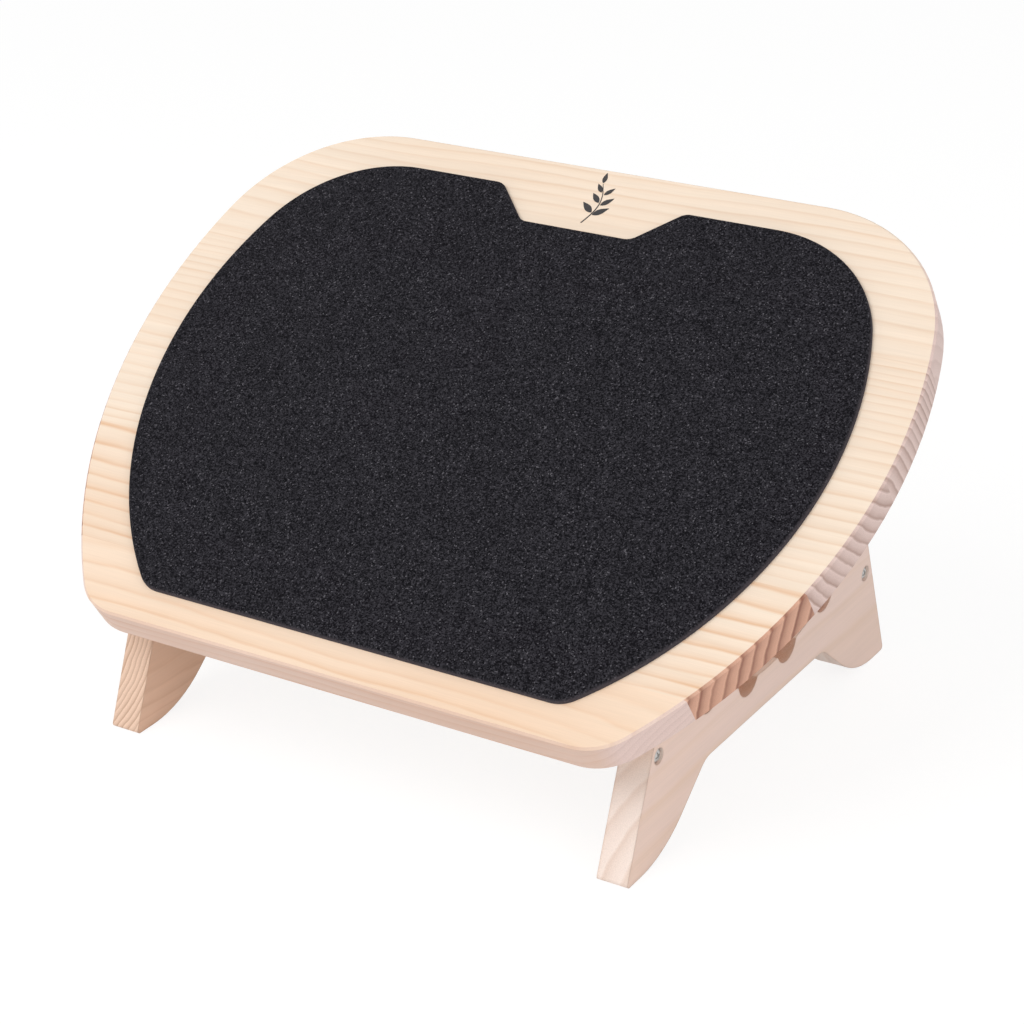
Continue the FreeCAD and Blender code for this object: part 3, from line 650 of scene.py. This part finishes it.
@dataclass
class Pad:
    """The foam pad: a soft-edged mat whose back edge steps in round a bay."""

    plane: BoardPlane
    front: float = 20.1 * MM
    back: float = 326.6 * MM
    half_width: float = 208.8 * MM
    side_radius: float = 229.0 * MM
    widest: float = 192.2 * MM
    corners: tuple[float, float] = (19.0 * MM, 83.5 * MM)
    bay_halves: tuple[float, float] = (59.5 * MM, 35.5 * MM)
    bay_depth: float = 24.0 * MM
    bay_corner: float = 9.0 * MM
    thickness: float = 4.0 * MM
    edge_round: float = 2.4 * MM
    edge_steps: int = 6
    steps: int = 14

    def arc(self, centre: tuple[float, float], radius: float, first: float, last: float,
            steps: int) -> list[Vector]:
        """Points along an arc.

        Args:
            centre: the arc's middle.
            radius: its radius.
            first: its first direction in radians.
            last: its last direction in radians.
            steps: how many spans.

        Returns:
            The points in the pad's plane.
        """
        angles = [first + (last - first) * step / steps for step in range(steps + 1)]
        return [Vector((centre[0] + radius * math.cos(a), centre[1] + radius * math.sin(a))) for a in angles]

    def round_corner(self, before: Vector, corner: Vector, after: Vector) -> list[Vector]:
        """Points round a corner of the bay.

        Args:
            before: the point before the corner.
            corner: the corner itself.
            after: the point after the corner.

        Returns:
            The points of the rounding.
        """
        back_way = (before - corner).normalized()
        on_way = (after - corner).normalized()
        half = back_way.angle(on_way) / 2
        reach = self.bay_corner / math.tan(half)
        centre = corner + (back_way + on_way).normalized() * (self.bay_corner / math.sin(half))
        first = (corner + back_way * reach - centre).normalized()
        last = (corner + on_way * reach - centre).normalized()
        points = []
        for step in range(self.steps // 2 + 1):
            share = step / (self.steps // 2)
            points.append(centre + first.slerp(last, share) * self.bay_corner)
        return points

    def right_half(self) -> list[Vector]:
        """The outline's right half, from the front edge to the bay's floor.

        Returns:
            The points, with X across and Y along the board.
        """
        centre = (self.half_width - self.side_radius, self.widest)
        middles = []
        for corner, height in zip(self.corners, (self.front + self.corners[0], self.back - self.corners[1])):
            reach = math.sqrt((self.side_radius - corner) ** 2 - (height - centre[1]) ** 2)
            middles.append((centre[0] + reach, height))
        turns = [math.atan2(spot[1] - centre[1], spot[0] - centre[0]) for spot in middles]
        points = self.arc(middles[0], self.corners[0], -math.pi / 2, turns[0], self.steps)
        points += self.arc(centre, self.side_radius, turns[0], turns[1], self.steps * 4)[1:]
        points += self.arc(middles[1], self.corners[1], turns[1], math.pi / 2, self.steps * 2)[1:]
        mouth = Vector((self.bay_halves[0], self.back))
        floor = Vector((self.bay_halves[1], self.back - self.bay_depth))
        points += self.round_corner(points[-1], mouth, floor)
        points += self.round_corner(mouth, floor, Vector((0.0, floor.y)))
        return points

    def build(self, material: bpy.types.Material) -> bpy.types.Object:
        """Make the pad.

        Args:
            material: the foam.

        Returns:
            The pad's object.
        """
        right = self.right_half()
        outline = right + [Vector((-spot.x, spot.y)) for spot in reversed(right)]
        mesh = bmesh.new()
        count = len(outline)
        levels = [(0.0, 0.0), (0.0, self.thickness - self.edge_round)]
        for step in range(1, self.edge_steps + 1):
            angle = math.pi / 2 * step / self.edge_steps
            inset = self.edge_round * (1 - math.cos(angle))
            levels.append((inset, self.thickness - self.edge_round * (1 - math.sin(angle))))
        normals = []
        for index, spot in enumerate(outline):
            run = outline[(index + 1) % count] - outline[index - 1]
            normals.append(Vector((-run.y, run.x)).normalized())
        loops = []
        for inset, above in levels:
            ring = []
            for spot, inward in zip(outline, normals):
                inner = spot + inward * inset
                ring.append(mesh.verts.new(self.plane.place(inner.x, inner.y, above)))
            loops.append(ring)
        for lower, upper in zip(loops, loops[1:]):
            for index in range(count):
                following = (index + 1) % count
                mesh.faces.new((lower[index], lower[following], upper[following], upper[index]))
        mesh.faces.new(loops[-1])
        mesh.faces.new(list(reversed(loops[0])))
        piece = finish_mesh("foam_mat", mesh, material, smooth=50.0)
        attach(piece, "deck")
        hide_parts("foam_pad")
        LOG.info("built %s", piece.name)
        return piece


@dataclass
class LeafPrint:
    """A small printed sprig in the pad's bay: a curved stem with leaves along it."""

    plane: BoardPlane
    centre: tuple[float, float] = (2.5 * MM, 325.0 * MM)
    length: float = 30.0 * MM
    stem_width: float = 0.9 * MM
    leaf_length: float = 10.5 * MM
    leaf_width: float = 4.4 * MM
    lift: float = 0.04 * MM
    body: float = 0.10 * MM
    pairs: int = 3
    bend: float = 0.16
    lean: float = 0.10
    first_pair: float = 0.22
    pair_step: float = 0.25
    stagger: float = 0.05
    spread: float = 52.0
    spread_step: float = 6.0
    shrink: float = 0.14
    tip_angle: float = 96.0
    tip_scale: float = 0.74
    tip_share: float = 0.99
    stem_share: float = 0.97
    stem_taper: float = 0.6
    leaf_offset: float = 0.9
    leaf_fullness: float = 0.85
    leaf_slimming: float = 0.25
    leaf_steps: int = 12
    stem_steps: int = 16

    def stem_point(self, share: float) -> Vector:
        """A point on the stem.

        Args:
            share: 0 at its foot and 1 at its tip.

        Returns:
            The point, from the print's middle.
        """
        bend = self.bend * self.length * math.sin(math.pi * share)
        return Vector((bend - self.lean * self.length, (share - 0.5) * self.length))

    def leaf(self, foot: Vector, angle: float, scale: float) -> list[Vector]:
        """The outline of one leaf.

        Args:
            foot: where it leaves the stem.
            angle: its direction in radians.
            scale: its size against the full leaf.

        Returns:
            The outline's points.
        """
        turn = Matrix.Rotation(angle, 2)
        length, width = self.leaf_length * scale, self.leaf_width * scale
        points = []
        for side in (1, -1):
            for step in range(self.leaf_steps):
                share = step / self.leaf_steps if side > 0 else 1 - step / self.leaf_steps
                swell = math.sin(math.pi * share ** self.leaf_fullness) * (1 - self.leaf_slimming * share)
                points.append(foot + turn @ Vector((length * share, side * width / 2 * swell)))
        return points

    def outlines(self) -> list[list[Vector]]:
        """All the print's closed outlines.

        Returns:
            One list of points for each shape.
        """
        right, left = [], []
        for step in range(self.stem_steps + 1):
            share = step / self.stem_steps * self.stem_share
            spot = self.stem_point(share)
            half = self.stem_width / 2 * (1 - self.stem_taper * share)
            right.append(spot + Vector((half, 0.0)))
            left.append(spot - Vector((half, 0.0)))
        shapes = [right + left[::-1]]
        for pair in range(self.pairs):
            share = self.first_pair + self.pair_step * pair
            for side in (1, -1):
                beside = Vector((side * self.stem_width * self.leaf_offset, 0.0))
                foot = self.stem_point(share + self.stagger * (side < 0)) + beside
                angle = math.pi / 2 - side * math.radians(self.spread - self.spread_step * pair)
                shapes.append(self.leaf(foot, angle, 1.0 - self.shrink * pair))
        tip = self.stem_point(self.tip_share)
        shapes.append(self.leaf(tip, math.radians(self.tip_angle), self.tip_scale))
        return shapes

    def build(self, material: bpy.types.Material) -> bpy.types.Object:
        """Make the print.

        Args:
            material: the ink.

        Returns:
            The print's object.
        """
        mesh = bmesh.new()
        for shape in self.outlines():
            layers = []
            for above in (self.lift, self.lift + self.body):
                spots = [spot + Vector(self.centre) for spot in shape]
                layers.append([mesh.verts.new(self.plane.place(spot.x, spot.y, above)) for spot in spots])
            lower, upper = layers
            mesh.faces.new(upper)
            mesh.faces.new(lower[::-1])
            for index in range(len(shape)):
                following = (index + 1) % len(shape)
                mesh.faces.new((lower[index], lower[following], upper[following], upper[index]))
        bmesh.ops.triangulate(mesh, faces=[face for face in mesh.faces if len(face.verts) > 4])
        piece = finish_mesh("leaf_print", mesh, material)
        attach(piece, "deck")
        LOG.info("built %s", piece.name)
        return piece


@dataclass
class Frame:
    """The rails, the cross bar, the battens and the prop, which keep their frame shapes."""

    def build(self) -> None:
        """Dress every wooden piece under the board."""
        side = (0.895, 0.690, 0.610)
        # Painted shade: the left rail's wood is painted darker and browner than the right rail's, standing in
        # for the shade under the board.
        shaded = (0.820, 0.560, 0.420)
        inner = {"early": (0.900, 0.715, 0.600), "late": (0.750, 0.490, 0.340)}
        finishes = {
            "left_rail": Pine("pine_left_rail", Grain.ALONG_RAIL, (0.080, 0.013), 0.0032, 1.3, early=shaded,
                              late=(0.660, 0.390, 0.250), face_contrast=0.70, hollow_shade=1.0,
                              end_early=(0.880, 0.650, 0.510), end_late=(0.480, 0.280, 0.180)),
            # Painted light: the right rail's end grain is painted paler than its faces, standing in for the
            # light on the front of its foot.
            "right_rail": Pine("pine_right_rail", Grain.ALONG_RAIL, (-0.090, -0.060), 0.0110, 2.1, early=side,
                               face_contrast=0.45, hollow_shade=1.0, end_early=(0.930, 0.800, 0.730),
                               end_late=(0.740, 0.560, 0.465), end_contrast=0.7),
            "rear_cross_bar": Pine("pine_cross_bar", Grain.ACROSS, (0.03, -0.05), 0.0060, 3.4, **inner),
            "left_batten": Pine("pine_left_batten", Grain.ALONG_BATTEN, (0.05, 0.04), 0.0060, 4.2, **inner),
            "right_batten": Pine("pine_right_batten", Grain.ALONG_BATTEN, (-0.05, 0.03), 0.0064, 5.1,
                                 **inner),
            "left_prop_arm": Pine("pine_left_arm", Grain.ALONG_ARM, (0.04, 0.03), 0.0055, 6.6, **inner),
            "right_prop_arm": Pine("pine_right_arm", Grain.ALONG_ARM, (-0.04, 0.03), 0.0058, 7.7, **inner),
            "prop_bar": Pine("pine_bar", Grain.ACROSS, (0.02, -0.03), 0.0048, 8.3, **inner),
        }
        for node, finish in finishes.items():
            dress(node, finish.make(middle(node)))
            LOG.info("dressed %s", node)


@dataclass
class PanScrew:
    """One pan head screw that points inward along X, with its head's seat at X = 0."""

    shank: float = 2.25 * MM
    core: float = 1.75 * MM
    head: float = 4.2 * MM
    rim: float = 0.7 * MM
    crown: float = 2.3 * MM
    pitch: float = 1.8 * MM
    tip: float = 3.0 * MM
    smooth_neck: float = 5.0 * MM
    slot_width: float = 1.05 * MM
    slot_length: float = 4.6 * MM
    slot_depth: float = 1.1 * MM
    slot_fade: float = 0.55
    crown_edge: float = 0.12 * MM
    rim_edge: float = 0.10 * MM
    foot_edge: float = 0.06 * MM
    foot_inset: float = 0.08 * MM
    thread_marks: tuple[float, float, float] = (0.25, 0.55, 0.85)
    point_radius: float = 0.25 * MM
    point_length: float = 0.2 * MM
    turned: float = 20.0
    crown_steps: int = 22
    segments: int = 72

    def profile(self, length: float) -> list[tuple[float, float]]:
        """The outline that is spun round X.

        Args:
            length: from under the head to the point.

        Returns:
            Pairs of radius and X, from the crown's middle to the point.
        """
        rise = self.crown - self.rim
        dome = (self.head ** 2 + rise ** 2) / (2 * rise)
        points = []
        for step in range(1, self.crown_steps + 1):
            radius = (self.head - self.crown_edge) * step / self.crown_steps
            points.append((radius, self.crown - dome + math.sqrt(dome ** 2 - radius ** 2)))
        points += [(self.head, self.rim - self.rim_edge), (self.head, self.foot_edge)]
        points += [(self.head - self.foot_inset, 0.0)]
        points += [(self.shank, 0.0), (self.shank, -self.smooth_neck)]
        here = -self.smooth_neck
        fall, rise, crest = self.thread_marks
        while here - self.pitch > self.tip - length:
            points += [(self.core, here - fall * self.pitch), (self.core, here - rise * self.pitch)]
            points += [(self.shank, here - crest * self.pitch)]
            here -= self.pitch
        points += [(self.core, self.tip - length), (self.point_radius, -length + self.point_length)]
        return points

    def sunk(self, across: float, up: float) -> float:
        """How deep the cross slot is at a place on the head.

        Args:
            across: distance from the screw's axis along Y.
            up: distance from the screw's axis along Z.

        Returns:
            The depth in metres.
        """
        long, short = max(abs(across), abs(up)), min(abs(across), abs(up))
        if short > self.slot_width / 2 or long > self.slot_length / 2:
            return 0.0
        slope = 1 - self.slot_fade * long / (self.slot_length / 2)
        return self.slot_depth * slope

    def mesh(self, length: float) -> bmesh.types.BMesh:
        """Spin the profile.

        Args:
            length: from under the head to the point.

        Returns:
            The edit mesh of one screw.
        """
        profile = self.profile(length)
        mesh = bmesh.new()
        rings = []
        for radius, along in profile:
            ring = []
            for segment in range(self.segments):
                local = 2 * math.pi * segment / self.segments
                angle = local + math.radians(self.turned)
                across, up = radius * math.cos(local), radius * math.sin(local)
                depth = self.sunk(across, up) if along > self.rim else 0.0
                spot = (along - depth, radius * math.cos(angle), radius * math.sin(angle))
                ring.append(mesh.verts.new(spot))
            rings.append(ring)
        crown = mesh.verts.new((self.crown - self.slot_depth, 0.0, 0.0))
        point = mesh.verts.new((-length, 0.0, 0.0))
        for index in range(self.segments):
            following = (index + 1) % self.segments
            mesh.faces.new((crown, rings[0][index], rings[0][following]))
            mesh.faces.new((point, rings[-1][following], rings[-1][index]))
        for outer, inner in zip(rings, rings[1:]):
            for index in range(self.segments):
                following = (index + 1) % self.segments
                mesh.faces.new((outer[index], inner[index], inner[following], outer[following]))
        return mesh


@dataclass
class RailScrews:
    """The pan head screws on both rails, one pair for each body that they move with."""

    screw: PanScrew = field(default_factory=PanScrew)
    rail_side: float = 166.4
    recess: float = 2.6
    clearance: float = 0.1 * MM
    front_length: float = 31.5 * MM
    back_length: float = 41.4 * MM
    pivot: Vector = field(default_factory=PIVOT.copy)
    spread: float = 244.1 * MM

    def pair_tree(self) -> bpy.types.NodeTree:
        """A tree that sets copies of a piece along a line, each turned half round from the last.

        Returns:
            The tree, whose inputs are Piece, Count, Start, Step and Finish.
        """
        tree = bpy.data.node_groups.new("facing_pair", "GeometryNodeTree")
        face = tree.interface
        face.new_socket("Piece", in_out="INPUT", socket_type="NodeSocketGeometry")
        face.new_socket("Count", in_out="INPUT", socket_type="NodeSocketInt")
        face.new_socket("Start", in_out="INPUT", socket_type="NodeSocketVector")
        face.new_socket("Step", in_out="INPUT", socket_type="NodeSocketVector")
        face.new_socket("Finish", in_out="INPUT", socket_type="NodeSocketMaterial")
        face.new_socket("Geometry", in_out="OUTPUT", socket_type="NodeSocketGeometry")
        graph = Graph(tree)
        given = graph.add("NodeGroupInput").outputs
        row = graph.add("GeometryNodeMeshLine", {"mode": "OFFSET"}, Count=given["Count"])
        graph.feed(row, "Start Location", given["Start"])
        graph.feed(row, "Offset", given["Step"])
        half_turns = graph.math("MULTIPLY", graph.add("GeometryNodeInputIndex").outputs[0], math.pi)
        turn = graph.add("ShaderNodeCombineXYZ", Z=half_turns)
        copies = graph.add("GeometryNodeInstanceOnPoints", Points=row.outputs[0], Instance=given["Piece"])
        graph.feed(copies, "Rotation", turn.outputs[0])
        real = graph.add("GeometryNodeRealizeInstances", Geometry=copies.outputs[0])
        dressed = graph.add("GeometryNodeSetMaterial", Geometry=real.outputs[0], Material=given["Finish"])
        graph.add("NodeGroupOutput", Geometry=dressed.outputs[0])
        return tree

    def pair(self, name: str, node: str, body: str, spot: Vector, length: float, tree: bpy.types.NodeTree,
             material: bpy.types.Material) -> bpy.types.Object:
        """Make one facing pair.

        Args:
            name: the new piece's name.
            node: the frame node that it stands for.
            body: the body that it moves with.
            spot: the seat of the right-hand screw's head.
            length: from under the head to the point.
            tree: the tree that sets the pair.
            material: the finish.

        Returns:
            The pair's object.
        """
        piece = finish_mesh(name, self.screw.mesh(length), material, smooth=40.0)
        modifier = piece.modifiers.new("pair", "NODES")
        modifier.node_group = tree
        names = {item.name: item.identifier for item in tree.interface.items_tree if item.in_out == "INPUT"}
        modifier[names["Count"]] = 2
        modifier[names["Start"]] = list(spot)
        modifier[names["Step"]] = [-2 * spot.x, 0.0, 0.0]
        modifier[names["Finish"]] = material
        graph = bpy.context.evaluated_depsgraph_get()
        data = bpy.data.meshes.new_from_object(piece.evaluated_get(graph))
        piece.modifiers.remove(modifier)
        piece.data = data
        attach(piece, body)
        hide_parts(node)
        LOG.info("built %s", name)
        return piece

    def build(self, material: bpy.types.Material) -> None:
        """Make both pairs.

        Args:
            material: the zinc.
        """
        tree = self.pair_tree()
        seat = (self.rail_side - self.recess) * MM
        front = self.pivot + Vector((seat + self.clearance, 0.0, 0.0))
        back = self.pivot + Vector((seat, self.spread, 0.0))
        self.pair("front_screws", "pivot_screws", "deck", front, self.front_length, tree, material)
        self.pair("back_screws", "cross_bar_screws", "base", back, self.back_length, tree, material)


@dataclass
class Studio:
    """A pale floor, soft lamps and the photograph's camera."""

    lens: float = 93.16
    azimuth: float = 32.181
    elevation: float = 24.424
    roll: float = 0.868
    camera_place: tuple[float, float, float] = (0.72334, -1.13119, 0.72417)
    floor_half: float = 6.0
    world: float = 0.57
    floor_glow: float = 0.84
    floor_share: float = 0.22
    lamp_aim: tuple[float, float, float] = (0.0, 0.0, 0.12)
    sensor_width: float = 36.0
    sight: float = 60.0
    floor_pattern: Pattern = Pattern(1.2)
    floor_rough: float = 0.9
    floor_segments: int = 8

    def camera(self) -> None:
        """Put the camera where the photograph was taken from."""
        angles = (self.azimuth, self.elevation, self.roll)
        azimuth, elevation, roll = (math.radians(angle) for angle in angles)
        level = math.cos(elevation)
        back = Vector((math.sin(azimuth) * level, -math.cos(azimuth) * level, math.sin(elevation)))
        right = (-back).cross(Vector((0.0, 0.0, 1.0))).normalized()
        up = back.cross(right)
        turned_right = math.cos(roll) * right - math.sin(roll) * up
        turned_up = math.sin(roll) * right + math.cos(roll) * up
        data = bpy.data.cameras.new("camera")
        data.lens = self.lens
        data.sensor_width = self.sensor_width
        data.clip_end = self.sight
        camera = bpy.data.objects.new("camera", data)
        axes = Matrix((turned_right, turned_up, back)).transposed()
        camera.matrix_world = Matrix.Translation(self.camera_place) @ axes.to_4x4()
        bpy.context.scene.collection.objects.link(camera)
        bpy.context.scene.camera = camera

    def seen(self, graph: Graph) -> bpy.types.NodeSocket:
        """Tell the rays that reach the camera, directly or by a mirror image, from those that carry light.

        Args:
            graph: the tree that takes the nodes.

        Returns:
            The socket, which is 1 for a ray that is seen.
        """
        path = graph.add("ShaderNodeLightPath").outputs
        shown = graph.math("MAXIMUM", path["Is Camera Ray"], path["Is Glossy Ray"])
        return graph.math("MAXIMUM", shown, path["Is Transmission Ray"])

    def floor(self) -> None:
        """Lay the pale floor."""
        material, graph = new_material("pale_floor")
        place = graph.add("ShaderNodeTexCoord").outputs["Object"]
        tone = graph.ramp(graph.noise(place, self.floor_pattern), FLOOR_TONE)
        lit = graph.add("ShaderNodeBsdfPrincipled", Base_Color=tone, Roughness=self.floor_rough)
        graph.feed(lit, "Specular IOR Level", 0.0)

        # Seen directly, the floor is white with a faint shadow; it lights the footrest as plain pale board.
        faint = graph.mix(self.floor_share, (0.0, 0.0, 0.0), tone)
        shade = graph.add("ShaderNodeBsdfDiffuse", Color=faint)
        glow = graph.add("ShaderNodeEmission", Color=(*WHITE, 1.0), Strength=self.floor_glow)
        shown = graph.add("ShaderNodeAddShader")
        graph.feed(shown, 0, shade.outputs[0])
        graph.feed(shown, 1, glow.outputs[0])
        blend = graph.add("ShaderNodeMixShader", Fac=self.seen(graph))
        graph.feed(blend, 1, lit.outputs[0])
        graph.feed(blend, 2, shown.outputs[0])
        graph.add("ShaderNodeOutputMaterial", Surface=blend.outputs[0])
        mesh = bmesh.new()
        count = self.floor_segments
        bmesh.ops.create_grid(mesh, x_segments=count, y_segments=count, size=self.floor_half)
        floor = finish_mesh("floor", mesh, material)

    def lamp(self, name: str, place: tuple[float, float, float], size: float, watts: float,
             tint: Colour) -> None:
        """Hang a soft square lamp that points at the footrest.

        Args:
            name: its name.
            place: where it hangs.
            size: its side.
            watts: its power.
            tint: its colour.
        """
        data = bpy.data.lights.new(name, "AREA")
        data.shape = "SQUARE"
        data.size = size
        data.energy = watts
        data.color = tint
        lamp = bpy.data.objects.new(name, data)
        lamp.location = place
        lamp.rotation_euler = (Vector(place) - Vector(self.lamp_aim)).to_track_quat("Z", "Y").to_euler()
        bpy.context.scene.collection.objects.link(lamp)

    def light(self) -> None:
        """Set the world and the lamps."""
        world = bpy.data.worlds.new("soft_room")
        bpy.context.scene.world = world
        world.use_nodes = True
        graph = Graph(world.node_tree)
        strength = graph.math("MULTIPLY_ADD", self.seen(graph), 1.0 - self.world, self.world)
        shader = graph.add("ShaderNodeBackground", Color=(*WHITE, 1.0), Strength=strength)
        graph.add("ShaderNodeOutputWorld", Surface=shader.outputs[0])
        self.lamp("key", (-0.6, -1.6, 1.9), size=1.6, watts=28.0, tint=(1.0, 0.985, 0.965))
        self.lamp("fill", (1.9, -0.9, 1.3), size=1.5, watts=10.0, tint=(1.0, 0.985, 0.97))

    def build(self) -> None:
        """Set up the camera, the floor and the light."""
        self.camera()
        self.floor()
        self.light()
        bpy.context.scene.view_settings.view_transform = "Standard"


def main() -> None:
    """Build and dress the whole footrest."""
    logging.basicConfig(level=logging.INFO, format="%(name)s: %(message)s")
    plane = BoardPlane()
    zinc = Zinc().make()
    Board().build()
    Frame().build()
    Pad(plane).build(Foam().make())
    LeafPrint(plane).build(Ink().make())
    RailScrews().build(zinc)
    for node in ("pivot_washers", "prop_hinge_screws", "prop_washers", "batten_screws", "prop_bar_pins"):
        dress(node, zinc)
    Studio().build()


if __name__ == "__main__":
    main()
